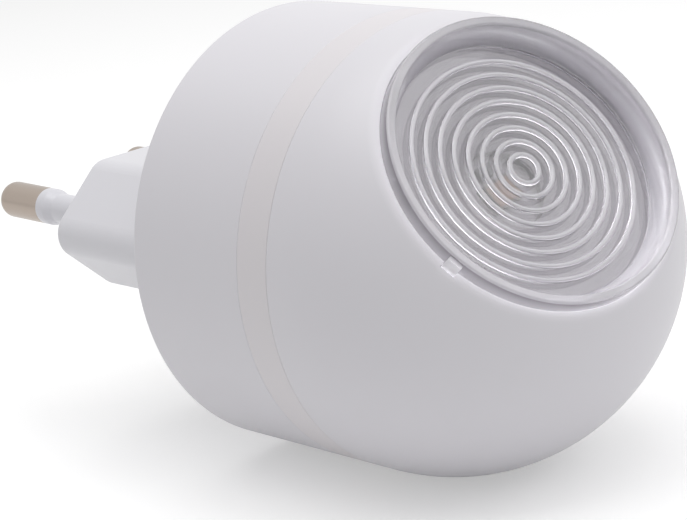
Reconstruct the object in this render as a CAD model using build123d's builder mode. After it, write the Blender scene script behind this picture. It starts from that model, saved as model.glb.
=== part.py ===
from build123d import *
from math import asin, cos, radians, sin, sqrt, tan
import os

# Plug-in night light: a round base that plugs into a wall socket, and a ball-ended head that
# turns on it and carries a tilted, ring-patterned clear lens over one LED.
#
# Millimetres and degrees. The origin is the centre of the base's back face. +Y goes into the
# wall, -Y into the room, +Z is up and +X runs from pin to pin. "Depth" is the distance from
# the back face towards the room, so y = -depth. "Height" is the distance from the centre of
# the ball along the lens axis.

# ---------------------------------------------------------------- driving dimensions
# round housing
body_radius = 22.5
shell_wall = 1.8
back_wall = 3.0
base_length = 15.3
collar_length = 4.05
seam_gap = 0.12
head_straight = 1.93
back_edge_round = 0.35
seam_round = 0.1
slot_clearance = 0.1

# collar, pivot plate and turntable
spigot_wall = 1.4
spigot_length = 2.5
lip_thickness = 1.2
plate_thickness = 1.8
turntable_recess = 0.2
turntable_thickness = 1.8

# turning joint
hub_radius = 5.0
hub_wall = 1.8
running_clearance = 0.05
bearing_wall = 2.4
bearing_extra = 1.5
washer_space = 0.6
washer_sheet = 0.3
clip_thickness = 0.8
clip_rim = 2.2
clip_mouth = 5.0
groove_depth = 0.6
hub_tail = 0.6
thrust_gap = 0.1
stop_inner_radius = 12.0
stop_width = 3.0
stop_angle = 9.5
stop_gap = 0.35
rest_turn = 12.6

# screw posts of the base, and the long screws in them
post_radius = 2.2
post_foot_radius = 3.3
post_angle = 60.0
boss_length = 3.0
case_screw_radius = 1.25
case_head_radius = 2.2
case_head_height = 1.6
well_clearance = 0.3
well_depth = 4.5
screw_tip_cover = 1.0
screw_clearance = 0.05
recess_width = 0.25
recess_length = 0.6
recess_depth = 0.5

# plug body and its flange
plug_half_width = 18.5
plug_half_thickness = 6.85
plug_bevel = 7.5
plug_length = 19.8
plug_corner_round = 2.7
plug_edge_round = 0.6
flange_margin = 1.6
flange_thickness = 2.0
ear_radius = 2.7
ear_reach = 3.4
plug_screw_radius = 0.9
plug_head_radius = 1.8
plug_head_height = 1.1
plug_screw_cover = 0.7
cut_past = 1.0

# contact pins and their sleeves; places along a pin count from the plug's end face
pin_radius = 2.0
pin_length = 19.5
pin_tip_round = 1.3
pin_pitch_at_plug = 18.6
pin_pitch_at_tip = 17.5
pin_core_radius = 1.25
pin_shoulder_radius = 2.3
pin_shoulder_length = 3.0
pin_shoulder_place = 8.0
pin_tail_radius = 0.8
pin_tail_end = 0.6
sleeve_end = 11.9
sleeve_collar = 1.2
sleeve_taper_length = 1.2
sleeve_neck_radius = 1.65
sleeve_socket = 3.0

# driver board and the parts on it
board_gap = 2.0
board_thickness = 1.2
board_margin = 0.6
solder_room = 0.3
parts_headroom = 1.3
film_depth = 6.0
film_post_gap = 0.6
film_bearing_gap = 1.85
film_round = 0.6
electrolytic_radius = 3.15
electrolytic_bearing_gap = 1.4
electrolytic_round = 0.3
vent_length = 3.2
vent_width = 0.3
vent_depth = 0.2
rectifier_width = 4.7
rectifier_length = 4.0
rectifier_height = 2.5
rectifier_leg = 1.0
leg_width = 0.7
leg_thickness = 0.3
side_parts_inset = 4.45
side_parts_angle = 26.5
fuse_radius = 1.5
fuse_length = 6.0
bleeder_radius = 1.15
bleeder_length = 5.6
wire_radius = 0.3
wire_stub = 1.0
transistor_radius = 2.3
transistor_flat = 1.3
transistor_height = 4.6
transistor_stand = 1.2
transistor_leg_spacing = 1.27

# lens
lens_tilt = 38.0
lens_radius = 14.85
rim_proud = 1.05
rim_width = 0.85
rim_round = 0.25
dish_depth = 2.55
dish_draft = 0.9
lens_height = 5.2
skirt_wall = 1.4
lens_plate = 1.2
first_ring = 1.48
ring_pitch = 1.41
ring_half_width = 0.36
ring_height = 0.32
ring_border = 1.5
hook_angle = 12.0
hook_places = (-80.0, 40.0, 160.0)
hook_reach = 0.5
key_place = 194.0
key_width = 1.4
key_reach = 0.5
key_depth = 1.0
key_below_rim = 0.3
opening_round = 0.12

# lamp parts behind the lens
lamp_drop = 5.8
lamp_board_thickness = 1.2
lamp_board_end = 1.7
lamp_board_width = 12.0
lamp_board_corner = 2.0
lamp_post_radius = 2.2
lamp_screw_radius = 0.9
lamp_head_radius = 1.7
lamp_head_height = 1.2
lamp_screw_bite = 2.2
reflector_mouth = 11.3
reflector_floor = 4.2
reflector_wall = 0.8
reflector_flange = 0.8
led_length = 3.5
led_width = 2.8
led_height = 0.8
phosphor_border = 0.3
phosphor_depth = 0.25
sensor_length = 2.0
sensor_width = 1.3
sensor_height = 0.9
sensor_gap = 0.5
lead_radius = 0.5
lead_half_spacing = 0.75
lead_run = 4.5
lead_bend_radius = 8.0

# posts and screws that close the back of the head
head_post_radius = 3.0
head_post_length = 2.8
head_post_bite = 0.1
head_post_angles = (-90.0, -10.0, 190.0)
head_screw_radius = 0.95
head_screw_head = 1.9
head_screw_sink = 0.9
head_screw_bite = 2.2

# ---------------------------------------------------------------- worked-out sizes
inner_radius = body_radius - shell_wall
flange_front = back_wall + flange_thickness
board_back = flange_front + board_gap
board_front = board_back + board_thickness
board_radius = inner_radius - board_margin
collar_front = base_length + collar_length
head_back = collar_front + seam_gap
ball_depth = head_back + head_straight
spigot_radius = inner_radius - slot_clearance
spigot_bore = spigot_radius - spigot_wall
plate_back = base_length + lip_thickness
plate_front = plate_back + plate_thickness
turntable_back = head_back + turntable_recess
turntable_front = turntable_back + turntable_thickness
bearing_back = plate_back - bearing_extra
bearing_bore = hub_radius + running_clearance
bearing_radius = bearing_bore + bearing_wall
clip_front = bearing_back - washer_space
clip_back = clip_front - clip_thickness
hub_end = clip_back - hub_tail
hub_bore = hub_radius - hub_wall
groove_radius = hub_radius - groove_depth
clip_radius = hub_radius + clip_rim
stop_outer_radius = stop_inner_radius + stop_width
boss_back = plate_back - boss_length
post_top = boss_back - slot_clearance
post_circle = spigot_bore - post_radius - 2 * slot_clearance
post_x = 2 * post_circle * cos(radians(post_angle))
post_z = 2 * post_circle * sin(radians(post_angle))
screw_tip = plate_front - screw_tip_cover
tall_part_height = plate_back - parts_headroom - board_front
film_width = post_x - 2 * (post_radius + film_post_gap)
film_place = bearing_radius + film_bearing_gap + film_depth / 2
electrolytic_place = bearing_radius + electrolytic_bearing_gap + electrolytic_radius
side_parts_x = (board_radius - side_parts_inset) * cos(radians(side_parts_angle))
side_parts_z = (board_radius - side_parts_inset) * sin(radians(side_parts_angle))
ear_z = plug_half_thickness + ear_reach
pin_lean = asin((pin_pitch_at_plug - pin_pitch_at_tip) / 2 / pin_length)
opening_height = sqrt(body_radius**2 - lens_radius**2)
lens_top = opening_height + rim_proud
lens_bottom = lens_top - lens_height
key_foot = opening_height - key_depth
lens_bore = lens_radius + slot_clearance
skirt_bore = lens_radius - skirt_wall
plate_top = lens_top - dish_depth
plate_under = plate_top - lens_plate
plate_radius = lens_radius - rim_width - dish_draft
ring_count = 1 + int((plate_radius - ring_border - first_ring) / ring_pitch)
hook_radius = lens_radius + hook_reach
hook_top = sqrt(inner_radius**2 - hook_radius**2) - slot_clearance
lamp_face = plate_top - lamp_drop
lamp_back = lamp_face - lamp_board_thickness
lamp_post_out = lens_radius + lamp_post_radius
lamp_post_top = sqrt((body_radius - shell_wall / 2) ** 2 - lamp_post_out**2)
lamp_board_length = 2 * (lens_radius + lamp_board_end)
head_post_circle = inner_radius - head_post_radius + head_post_bite

# ---------------------------------------------------------------- planes and axes
turn = radians(rest_turn)
tilt = radians(lens_tilt)
lead_corner = ball_depth + (lamp_back - lead_run) / cos(tilt)
across = Vector(cos(turn), 0, sin(turn))
upward = Vector(-sin(turn), 0, cos(turn))
into_room = Vector(0, -1, 0)
lens_normal = into_room * cos(tilt) + upward * sin(tilt)
lens_up = lens_normal.cross(across)
ball_centre = into_room * ball_depth
lens_axis = Axis(ball_centre, lens_normal)

# in both section planes x is the radius; y is the depth in one and the height in the other
side_section = Plane(origin=(0, 0, 0), x_dir=(1, 0, 0), z_dir=(0, 0, -1))
lens_section = Plane(origin=ball_centre, x_dir=across, z_dir=-lens_up)


def at_depth(depth):
    """Plane parallel to the wall, facing the room, with x along +X and y along +Z."""
    return Plane.XZ.offset(depth)


def to_wall(depth):
    """Plane parallel to the wall, facing the wall."""
    return Plane(origin=into_room * depth, x_dir=(1, 0, 0), z_dir=(0, 1, 0))


def in_head(depth):
    """Plane facing the room that is turned with the head: y points where the lens looks up to."""
    return Plane(origin=into_room * depth, x_dir=across, z_dir=into_room)


def at_height(height):
    """Plane square to the lens axis, facing out through the lens."""
    return Plane(origin=ball_centre + lens_normal * height, x_dir=across, z_dir=lens_normal)


def polar(radius, angle):
    """Point of a plane at a radius and an angle in degrees."""
    return (radius * cos(radians(angle)), radius * sin(radians(angle)))


# ---------------------------------------------------------------- shared shapes
def plug_outline(grow):
    """Flat-topped outline with pointed, rounded ends, grown by the same amount all round."""
    flat = plug_half_width - plug_bevel
    with BuildSketch() as outline:
        with BuildLine():
            Polyline(
                (plug_half_width, 0),
                (flat, plug_half_thickness),
                (-flat, plug_half_thickness),
                (-plug_half_width, 0),
                (-flat, -plug_half_thickness),
                (flat, -plug_half_thickness),
                close=True,
            )
        make_face()
        fillet(outline.vertices(), plug_corner_round)
        offset(amount=grow)
    return outline.sketch


def ring_sector(inner, outer, middle, spread):
    """Part of a flat ring between two radii, as many degrees wide as spread says."""
    with BuildSketch() as sector:
        Circle(outer)
        Circle(inner, mode=Mode.SUBTRACT)
        with BuildLine():
            Polyline(
                (0, 0),
                polar(2 * outer, middle - spread / 2),
                polar(2 * outer, middle + spread / 2),
                close=True,
            )
        make_face(mode=Mode.INTERSECT)
    return sector.sketch


def pan_screw(head_radius, head_height, shank_radius, length):
    """Screw with its head above z = 0, its shank below, and a cross recess in the head."""
    with BuildPart() as screw:
        with BuildSketch():
            Circle(head_radius)
        extrude(amount=head_height)
        fillet(screw.edges().group_by(Axis.Z)[-1], head_height / 3)
        with BuildSketch():
            Circle(shank_radius)
        extrude(amount=-length)
        chamfer(screw.edges().group_by(Axis.Z)[0], shank_radius / 2)
        with BuildSketch(Plane.XY.offset(head_height)):
            Rectangle(2 * recess_length * head_radius, recess_width * head_radius)
            Rectangle(recess_width * head_radius, 2 * recess_length * head_radius)
        extrude(amount=-recess_depth * head_height, mode=Mode.SUBTRACT)
    return screw.part


def axial_resistor(radius, length):
    """Resistor lying along x just above z = 0, with a wire leg bent down at each end."""
    reach = length / 2 + wire_stub
    middle = radius + wire_radius
    with BuildPart() as resistor:
        with BuildLine(Plane.XZ) as legs:
            FilletPolyline((-reach, 0), (-reach, middle), (reach, middle), (reach, 0), radius=2 * wire_radius)
        with BuildSketch(Plane(origin=legs.line @ 0, z_dir=legs.line % 0)):
            Circle(wire_radius)
        sweep()
        with BuildSketch(Plane(origin=(-length / 2, 0, middle), z_dir=(1, 0, 0))):
            Circle(radius)
        extrude(amount=length)
        fillet(resistor.edges().filter_by(GeomType.CIRCLE).sort_by(SortBy.RADIUS)[-2:], radius / 3)
    return resistor.part


def finish(part, name):
    """Label a finished piece and write it to its own file."""
    part.label = name
    export_step(part, f"parts/{name}.step")


os.makedirs("parts", exist_ok=True)

# ---------------------------------------------------------------- base shell
# A cup with a thick back wall. Four hollow posts carry the driver board and the long screws,
# whose heads sink into wells in the back face.
with BuildPart() as base_shell:
    with BuildSketch(at_depth(0)):
        Circle(body_radius)
    extrude(amount=base_length)
    fillet(base_shell.edges().group_by(Axis.Y)[-1], back_edge_round)
    fillet(base_shell.edges().group_by(Axis.Y)[0], seam_round)
    with BuildSketch(at_depth(back_wall)):
        Circle(inner_radius)
    extrude(amount=base_length, mode=Mode.SUBTRACT)
    with BuildSketch(at_depth(0)):
        with GridLocations(post_x, post_z, 2, 2):
            Circle(post_foot_radius)
    extrude(amount=board_back)
    with BuildSketch(at_depth(board_back)):
        with GridLocations(post_x, post_z, 2, 2):
            Circle(post_radius)
    extrude(amount=post_top - board_back)
    with BuildSketch(at_depth(0)):
        with GridLocations(post_x, post_z, 2, 2):
            Circle(case_screw_radius + screw_clearance)
    extrude(amount=post_top, mode=Mode.SUBTRACT)
    with BuildSketch(at_depth(0)):
        with GridLocations(post_x, post_z, 2, 2):
            Circle(case_head_radius + well_clearance)
    extrude(amount=well_depth, mode=Mode.SUBTRACT)
    with BuildSketch(at_depth(0)):
        add(plug_outline(slot_clearance))
    extrude(amount=back_wall, mode=Mode.SUBTRACT)
    with BuildSketch(at_depth(plug_screw_cover)):
        with GridLocations(0, 2 * ear_z, 1, 2):
            Circle(plug_screw_radius + screw_clearance)
    extrude(amount=back_wall, mode=Mode.SUBTRACT)
finish(base_shell.part, "base_shell")

# ---------------------------------------------------------------- collar ring
# The flush band between base and head. Its spigot fits into the base's mouth, and the lip
# inside it carries the pivot plate.
with BuildPart() as collar_ring:
    with BuildSketch(at_depth(base_length)):
        Circle(body_radius)
    extrude(amount=collar_length)
    fillet(collar_ring.edges().filter_by(GeomType.CIRCLE), seam_round)
    with BuildSketch(at_depth(plate_back)):
        Circle(inner_radius)
    extrude(amount=collar_length, mode=Mode.SUBTRACT)
    with BuildSketch(at_depth(base_length - spigot_length)):
        Circle(spigot_radius)
    extrude(amount=spigot_length)
    with BuildSketch(at_depth(base_length - spigot_length)):
        Circle(spigot_bore)
    extrude(amount=spigot_length + collar_length, mode=Mode.SUBTRACT)
finish(collar_ring.part, "collar_ring")

# ---------------------------------------------------------------- pivot plate
# The fixed half of the turning joint: a disc with a bearing for the hub, four screw bosses and
# one raised stop at the bottom.
with BuildPart() as pivot_plate:
    with BuildSketch(at_depth(plate_back)):
        Circle(spigot_radius)
    extrude(amount=plate_thickness)
    with BuildSketch(at_depth(bearing_back)):
        Circle(bearing_radius)
    extrude(amount=bearing_extra)
    with BuildSketch(at_depth(boss_back)):
        with GridLocations(post_x, post_z, 2, 2):
            Circle(post_radius)
    extrude(amount=boss_length)
    with BuildSketch(at_depth(boss_back)):
        with GridLocations(post_x, post_z, 2, 2):
            Circle(case_screw_radius + screw_clearance)
    extrude(amount=screw_tip - boss_back + screw_clearance, mode=Mode.SUBTRACT)
    with BuildSketch(at_depth(bearing_back)):
        Circle(bearing_bore)
    extrude(amount=bearing_extra + plate_thickness, mode=Mode.SUBTRACT)
    with BuildSketch(at_depth(plate_front)):
        add(ring_sector(stop_inner_radius, stop_outer_radius, -90, stop_angle))
    extrude(amount=turntable_back - plate_front - stop_gap)
finish(pivot_plate.part, "pivot_plate")

# ---------------------------------------------------------------- case screws
with BuildPart() as case_screws:
    with Locations(to_wall(well_depth)):
        with GridLocations(post_x, post_z, 2, 2):
            add(pan_screw(case_head_radius, case_head_height, case_screw_radius, screw_tip - well_depth))
finish(case_screws.part, "case_screws")

# ---------------------------------------------------------------- plug body
# One moulded block through the back wall. Its flange lies on the inside of that wall and is
# held by two screws through its ears.
pin_places = {}
for side_name, side in (("left", -1), ("right", 1)):
    pin_foot = Vector(side * pin_pitch_at_plug / 2, plug_length, 0)
    pin_line = Vector(-side * sin(pin_lean), cos(pin_lean), 0)
    pin_places[side_name] = Plane(origin=pin_foot, x_dir=(0, 0, 1), z_dir=pin_line)
flange_place = -(plug_length + flange_front)
shoulder_end = -pin_shoulder_place

with BuildPart() as plug_body:
    with BuildSketch(at_depth(-plug_length)):
        add(plug_outline(0))
    extrude(amount=plug_length + back_wall)
    fillet(plug_body.edges().group_by(Axis.Y)[-1], plug_edge_round)
    with BuildSketch(at_depth(back_wall)):
        add(plug_outline(flange_margin))
        with GridLocations(0, 2 * ear_z, 1, 2):
            Circle(ear_radius)
        Rectangle(2 * ear_radius, 2 * ear_z)
        Circle(spigot_radius, mode=Mode.INTERSECT)
    extrude(amount=flange_thickness)
    with BuildSketch(at_depth(back_wall)):
        with GridLocations(0, 2 * ear_z, 1, 2):
            Circle(plug_screw_radius + screw_clearance)
    extrude(amount=flange_thickness, mode=Mode.SUBTRACT)
    for pin_plane in pin_places.values():
        with BuildSketch(pin_plane.offset(cut_past)):
            Circle(sleeve_neck_radius + screw_clearance)
        extrude(amount=-sleeve_socket - cut_past, mode=Mode.SUBTRACT)
        with BuildSketch(pin_plane):
            Circle(pin_core_radius + screw_clearance)
        extrude(amount=shoulder_end, mode=Mode.SUBTRACT)
        with BuildSketch(pin_plane.offset(shoulder_end)):
            Circle(pin_shoulder_radius + screw_clearance)
        extrude(amount=-plug_length, mode=Mode.SUBTRACT)
finish(plug_body.part, "plug_body")

# ---------------------------------------------------------------- pins and sleeves
# Each pin is one turned rod: thick tip, thin core in the sleeve, a shoulder that bears in the
# plug body, and a tail through the driver board. The two pins lean towards each other.
tail_end = -(plug_length + board_front + pin_tail_end)
for side_name, pin_plane in pin_places.items():
    pin_axis = Axis(pin_plane.origin, pin_plane.z_dir)
    with BuildPart() as plug_pin:
        with BuildSketch(pin_plane.offset(sleeve_end)):
            Circle(pin_radius)
        extrude(amount=pin_length - sleeve_end)
        fillet(plug_pin.edges().group_by(pin_axis)[-1], pin_tip_round)
        with BuildSketch(pin_plane.offset(flange_place)):
            Circle(pin_core_radius)
        extrude(amount=sleeve_end - flange_place)
        with BuildSketch(pin_plane.offset(shoulder_end)):
            Circle(pin_shoulder_radius)
        extrude(amount=-pin_shoulder_length)
        with BuildSketch(pin_plane.offset(tail_end)):
            Circle(pin_tail_radius)
        extrude(amount=flange_place - tail_end)
    finish(plug_pin.part, f"plug_pin_{side_name}")

    with BuildPart() as pin_sleeve:
        with BuildSketch(pin_plane.offset(-sleeve_socket)):
            Circle(sleeve_neck_radius)
        extrude(amount=sleeve_socket + sleeve_end - sleeve_collar - sleeve_taper_length)
        with BuildSketch(pin_plane.offset(sleeve_end - sleeve_collar)):
            Circle(pin_radius)
        extrude(amount=sleeve_collar)
        with BuildSketch(pin_plane.offset(sleeve_end - sleeve_collar - sleeve_taper_length)):
            Circle(sleeve_neck_radius)
        with BuildSketch(pin_plane.offset(sleeve_end - sleeve_collar)):
            Circle(pin_radius)
        loft()
        with BuildSketch(pin_plane.offset(-sleeve_socket)):
            Circle(pin_core_radius)
        extrude(amount=sleeve_socket + sleeve_end, mode=Mode.SUBTRACT)
    finish(pin_sleeve.part, f"pin_sleeve_{side_name}")

with BuildPart() as plug_screws:
    with Locations(at_depth(flange_front)):
        with GridLocations(0, 2 * ear_z, 1, 2):
            add(
                pan_screw(
                    plug_head_radius,
                    plug_head_height,
                    plug_screw_radius,
                    flange_front - plug_screw_cover - screw_clearance,
                )
            )
finish(plug_screws.part, "plug_screws")

# ---------------------------------------------------------------- driver board
# A round circuit board on the feet of the four posts. The pin tails come through it and are
# soldered on its front, where the parts stand.
tail_x = pin_pitch_at_plug / 2 + (plug_length + board_front) * tan(pin_lean)
with BuildPart() as driver_board:
    with BuildSketch(at_depth(board_back)):
        Circle(board_radius)
        with GridLocations(post_x, post_z, 2, 2):
            Circle(post_radius + slot_clearance, mode=Mode.SUBTRACT)
        with GridLocations(2 * tail_x, 0, 2, 1):
            Circle(pin_tail_radius + solder_room, mode=Mode.SUBTRACT)
    extrude(amount=board_thickness)
finish(driver_board.part, "driver_board")

with BuildPart() as film_capacitor:
    with Locations(at_depth(board_front)):
        with Locations((0, -film_place, 0)):
            Box(film_width, film_depth, tall_part_height, align=(Align.CENTER, Align.CENTER, Align.MIN))
    fillet(film_capacitor.edges().filter_by(Axis.Y), film_round)
finish(film_capacitor.part, "film_capacitor")

with BuildPart() as smoothing_capacitor:
    with Locations(at_depth(board_front)):
        with Locations((0, electrolytic_place, 0)):
            Cylinder(
                electrolytic_radius,
                tall_part_height,
                align=(Align.CENTER, Align.CENTER, Align.MIN),
            )
    fillet(smoothing_capacitor.edges().group_by(Axis.Y)[0], electrolytic_round)
    with BuildSketch(at_depth(board_front + tall_part_height - vent_depth)):
        with Locations((0, electrolytic_place)):
            Rectangle(vent_length, vent_width)
            Rectangle(vent_width, vent_length)
    extrude(amount=vent_depth, mode=Mode.SUBTRACT)
finish(smoothing_capacitor.part, "smoothing_capacitor")

with BuildPart() as bridge_rectifier:
    with Locations(at_depth(board_front)):
        with Locations((side_parts_x, side_parts_z, 0)):
            Box(
                rectifier_width,
                rectifier_length,
                rectifier_height,
                align=(Align.CENTER, Align.CENTER, Align.MIN),
            )
            with GridLocations(0, rectifier_length / 2, 1, 2):
                Box(
                    rectifier_width + 2 * rectifier_leg,
                    leg_width,
                    leg_thickness,
                    align=(Align.CENTER, Align.CENTER, Align.MIN),
                )
finish(bridge_rectifier.part, "bridge_rectifier")

with BuildPart() as fusible_resistor:
    with Locations(at_depth(board_front)):
        with Locations(Location((-side_parts_x, side_parts_z, 0), (0, 0, 90))):
            add(axial_resistor(fuse_radius, fuse_length))
finish(fusible_resistor.part, "fusible_resistor")

with BuildPart() as bleeder_resistor:
    with Locations(at_depth(board_front)):
        with Locations(Location((-side_parts_x, -side_parts_z, 0), (0, 0, 90))):
            add(axial_resistor(bleeder_radius, bleeder_length))
finish(bleeder_resistor.part, "bleeder_resistor")

with BuildPart() as switch_transistor:
    with BuildSketch(at_depth(board_front + transistor_stand)):
        with Locations((side_parts_x, -side_parts_z)):
            Circle(transistor_radius)
            with Locations((transistor_radius + transistor_flat, 0)):
                Rectangle(2 * transistor_radius, 4 * transistor_radius, mode=Mode.SUBTRACT)
    extrude(amount=transistor_height)
    with BuildSketch(at_depth(board_front)):
        with Locations((side_parts_x, -side_parts_z)):
            with GridLocations(0, transistor_leg_spacing, 1, 3):
                Rectangle(leg_thickness, leg_thickness)
    extrude(amount=transistor_stand)
finish(switch_transistor.part, "switch_transistor")

# ---------------------------------------------------------------- turntable
# The turning half of the joint: it closes the back of the head. Its hollow hub runs in the
# pivot plate's bearing and ends in a groove for the clip, and its stop meets the fixed one.
with BuildPart() as turntable:
    with BuildSketch(in_head(turntable_back)):
        Circle(spigot_radius)
    extrude(amount=turntable_thickness)
    with BuildSketch(in_head(plate_front + thrust_gap)):
        Circle(bearing_radius)
    extrude(amount=turntable_back - plate_front - thrust_gap)
    with BuildSketch(in_head(hub_end)):
        Circle(hub_radius)
    extrude(amount=turntable_back - hub_end)
    with BuildSketch(in_head(clip_back)):
        Circle(hub_radius)
        Circle(groove_radius, mode=Mode.SUBTRACT)
    extrude(amount=clip_thickness, mode=Mode.SUBTRACT)
    with BuildSketch(in_head(hub_end)):
        Circle(hub_bore)
    extrude(amount=turntable_front - hub_end, mode=Mode.SUBTRACT)
    with BuildSketch(in_head(plate_front + stop_gap)):
        add(ring_sector(stop_inner_radius, stop_outer_radius, 90, stop_angle))
    extrude(amount=turntable_back - plate_front - stop_gap)
    with BuildSketch(in_head(turntable_back)):
        with Locations(*[polar(head_post_circle, angle) for angle in head_post_angles]):
            Circle(head_screw_radius + screw_clearance)
    extrude(amount=turntable_thickness, mode=Mode.SUBTRACT)
    with BuildSketch(in_head(turntable_back)):
        with Locations(*[polar(head_post_circle, angle) for angle in head_post_angles]):
            Circle(head_screw_head + screw_clearance)
    extrude(amount=head_screw_sink, mode=Mode.SUBTRACT)
finish(turntable.part, "turntable")

with BuildPart() as turntable_screws:
    with Locations(in_head(turntable_back + head_screw_sink)):
        with Locations(*[polar(head_post_circle, angle) for angle in head_post_angles]):
            with Locations(Location((0, 0, 0), (180, 0, 0))):
                add(
                    pan_screw(
                        head_screw_head,
                        head_screw_sink,
                        head_screw_radius,
                        turntable_thickness - head_screw_sink + head_screw_bite,
                    )
                )
finish(turntable_screws.part, "turntable_screws")

# a dished spring washer between bearing and clip gives the head its drag
with BuildPart() as friction_washer:
    with BuildSketch(side_section):
        with BuildLine():
            Polyline(
                (bearing_bore, clip_front),
                (bearing_bore, clip_front + washer_sheet),
                (clip_radius, bearing_back - running_clearance),
                (clip_radius, bearing_back - running_clearance - washer_sheet),
                close=True,
            )
        make_face()
    revolve(axis=Axis.Y)
finish(friction_washer.part, "friction_washer")

with BuildPart() as retaining_clip:
    with BuildSketch(in_head(clip_back)):
        Circle(clip_radius)
        Circle(groove_radius + screw_clearance, mode=Mode.SUBTRACT)
        with Locations((clip_radius, 0)):
            Rectangle(2 * clip_radius, clip_mouth, mode=Mode.SUBTRACT)
    extrude(amount=clip_thickness)
finish(retaining_clip.part, "retaining_clip")

# ---------------------------------------------------------------- head shell
# A short cylinder that runs into a ball, bored square to the lens axis for the lens. Posts at
# the back take the turntable's screws, and two posts beside the lens take the lamp board's.
with BuildPart() as head_shell:
    with BuildSketch(side_section):
        with BuildLine():
            Polyline(
                (0, ball_depth + body_radius),
                (0, head_back),
                (body_radius, head_back),
                (body_radius, ball_depth),
            )
            RadiusArc((body_radius, ball_depth), (0, ball_depth + body_radius), -body_radius)
        make_face()
    revolve(axis=Axis.Y)
    fillet(head_shell.edges().group_by(Axis.Y)[-1], seam_round)
    with BuildSketch(side_section):
        with BuildLine():
            Polyline(
                (0, ball_depth + inner_radius),
                (0, head_back),
                (inner_radius, head_back),
                (inner_radius, ball_depth),
            )
            RadiusArc((inner_radius, ball_depth), (0, ball_depth + inner_radius), -inner_radius)
        make_face()
    revolve(axis=Axis.Y, mode=Mode.SUBTRACT)
    with BuildSketch(in_head(turntable_front)):
        with Locations(*[polar(head_post_circle, angle) for angle in head_post_angles]):
            Circle(head_post_radius)
    extrude(amount=head_post_length)
    with BuildSketch(in_head(turntable_front)):
        with Locations(*[polar(head_post_circle, angle) for angle in head_post_angles]):
            Circle(head_screw_radius + screw_clearance)
    extrude(amount=head_screw_bite + screw_clearance, mode=Mode.SUBTRACT)
    with BuildSketch(at_height(lamp_face)):
        with GridLocations(2 * lens_radius, 0, 2, 1):
            Circle(lamp_post_radius)
    extrude(amount=lamp_post_top - lamp_face)
    with BuildSketch(at_height(lamp_face)):
        with GridLocations(2 * lens_radius, 0, 2, 1):
            Circle(lamp_screw_radius + screw_clearance)
    extrude(amount=lamp_screw_bite + screw_clearance, mode=Mode.SUBTRACT)
    with BuildSketch(at_height(lens_bottom)):
        Circle(lens_bore)
    extrude(amount=body_radius, mode=Mode.SUBTRACT)
    fillet(head_shell.edges().filter_by(GeomType.CIRCLE).sort_by(lens_axis)[-1], opening_round)
    with BuildSketch(at_height(key_foot - slot_clearance)):
        with PolarLocations(lens_radius, 1, start_angle=key_place):
            Rectangle(2 * (key_reach + slot_clearance), key_width + 2 * slot_clearance)
    extrude(amount=body_radius, mode=Mode.SUBTRACT)
finish(head_shell.part, "head_shell")

# ---------------------------------------------------------------- lens
# A clear cap: a dished plate with half-round rings on it, a flat rim around it and a skirt
# below it with three snap hooks and one locating key.
with BuildPart() as lens:
    with BuildSketch(lens_section):
        with BuildLine():
            ring_edge = (plate_radius, plate_top)
            Polyline(
                (0, plate_top),
                (0, plate_under),
                (skirt_bore, plate_under),
                (skirt_bore, lens_bottom),
                (lens_radius, lens_bottom),
                (lens_radius, lens_top),
                (lens_radius - rim_width, lens_top),
                ring_edge,
            )
            for ring in reversed(range(ring_count)):
                ring_radius = first_ring + ring * ring_pitch
                outer_foot = (ring_radius + ring_half_width, plate_top)
                inner_foot = (ring_radius - ring_half_width, plate_top)
                Line(ring_edge, outer_foot)
                ThreePointArc(outer_foot, (ring_radius, plate_top + ring_height), inner_foot)
                ring_edge = inner_foot
            Line(ring_edge, (0, plate_top))
        make_face()
    revolve(axis=lens_axis)
    fillet(lens.edges().filter_by(GeomType.CIRCLE).group_by(lens_axis)[-1], rim_round)
    for hook_place in hook_places:
        with BuildSketch(at_height(lens_bottom)):
            add(ring_sector(skirt_bore, hook_radius, hook_place, hook_angle))
        extrude(amount=hook_top - lens_bottom)
    with BuildSketch(at_height(key_foot)):
        with PolarLocations(lens_radius, 1, start_angle=key_place):
            Rectangle(2 * key_reach, key_width)
    extrude(amount=lens_top - key_below_rim - key_foot)
finish(lens.part, "lens")

# ---------------------------------------------------------------- lamp parts
with BuildPart() as reflector:
    with BuildSketch(lens_section):
        with BuildLine():
            flange_top = plate_under - slot_clearance
            flange_under = flange_top - reflector_flange
            Polyline(
                (reflector_floor, lamp_face),
                (reflector_floor + reflector_wall, lamp_face),
                (reflector_mouth + reflector_wall, flange_under),
                (skirt_bore - slot_clearance, flange_under),
                (skirt_bore - slot_clearance, flange_top),
                (reflector_mouth, flange_top),
                (reflector_floor, lamp_face + reflector_wall),
                close=True,
            )
        make_face()
    revolve(axis=lens_axis)
finish(reflector.part, "reflector")

with BuildPart() as lamp_board:
    with BuildSketch(at_height(lamp_back)):
        RectangleRounded(lamp_board_length, lamp_board_width, lamp_board_corner)
        with GridLocations(2 * lens_radius, 0, 2, 1):
            Circle(lamp_screw_radius + screw_clearance, mode=Mode.SUBTRACT)
    extrude(amount=lamp_board_thickness)
finish(lamp_board.part, "lamp_board")

with BuildPart() as lamp_screws:
    with Locations(at_height(lamp_back)):
        with GridLocations(2 * lens_radius, 0, 2, 1):
            with Locations(Location((0, 0, 0), (180, 0, 0))):
                add(
                    pan_screw(
                        lamp_head_radius,
                        lamp_head_height,
                        lamp_screw_radius,
                        lamp_board_thickness + lamp_screw_bite,
                    )
                )
finish(lamp_screws.part, "lamp_screws")

with BuildPart() as led_package:
    with BuildSketch(at_height(lamp_face)):
        Rectangle(led_length, led_width)
    extrude(amount=led_height)
    with BuildSketch(at_height(lamp_face + led_height - phosphor_depth)):
        Rectangle(led_length - 2 * phosphor_border, led_width - 2 * phosphor_border)
    extrude(amount=phosphor_depth, mode=Mode.SUBTRACT)
finish(led_package.part, "led_package")

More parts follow.
